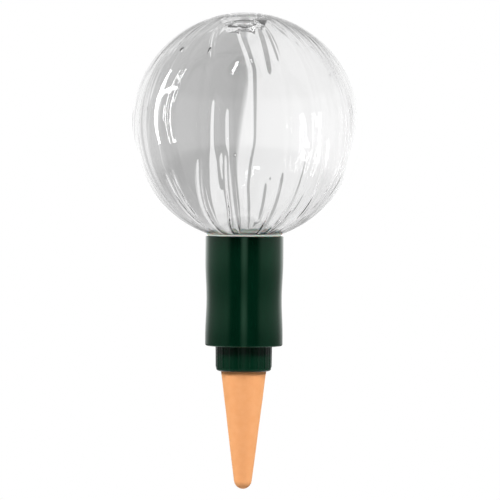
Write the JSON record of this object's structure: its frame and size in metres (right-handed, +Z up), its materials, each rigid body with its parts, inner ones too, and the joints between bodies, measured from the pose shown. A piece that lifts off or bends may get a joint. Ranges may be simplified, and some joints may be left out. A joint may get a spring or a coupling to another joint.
{
  "type": "watering globe",
  "caption": "Clear ribbed glass globe standing neck down in a green collar that screws onto a hollow clay cone, to water a potted plant slowly.",
  "frame": {"origin": "on the common axis at the soil line, which is the underside of the screw cap", "axes": "+Z up along the axis, from the clay cone towards the globe; +X and +Y are level, and the picture looks along +Y"},
  "size_m": [0.12, 0.12, 0.2509],
  "materials": {
    "glass": "clear, fire polished",
    "green_plastic": "dark green, moulded, semi-gloss",
    "terracotta": "unglazed, porous, matt",
    "seal_rubber": "translucent white silicone",
    "washer_rubber": "black, matt"
  },
  "bodies": {
    "stake": {"clay_cone": "terracotta", "screw_cap": "green_plastic"},
    "washer": {"spigot_washer": "washer_rubber"},
    "holder": {"coupling": "green_plastic", "collar": "green_plastic"},
    "seal": {"neck_seal": "seal_rubber"},
    "bulb": {"globe": "glass"}
  },
  "joints": [
    {"name": "collar_turn", "type": "hinge", "parent": "stake", "child": "washer", "pos_m": [0, 0, 0], "axis": [0, 0, 1], "range_deg": [0, 1440]},
    {"name": "collar_rise", "type": "slide", "parent": "washer", "child": "holder", "axis": [0, 0, 1], "range_m": [0, 0.0129]},
    {"name": "globe_turn", "type": "hinge", "parent": "holder", "child": "seal", "pos_m": [0, 0, 0.06], "axis": [0, 0, 1], "continuous": true},
    {"name": "globe_lift", "type": "slide", "parent": "seal", "child": "bulb", "axis": [0, 0, 1], "range_m": [0, 0.055]}
  ],
  "couplings": [
    {"joint": "collar_rise", "follows": "collar_turn", "m_per_rad": 0.0005093}
  ]
}
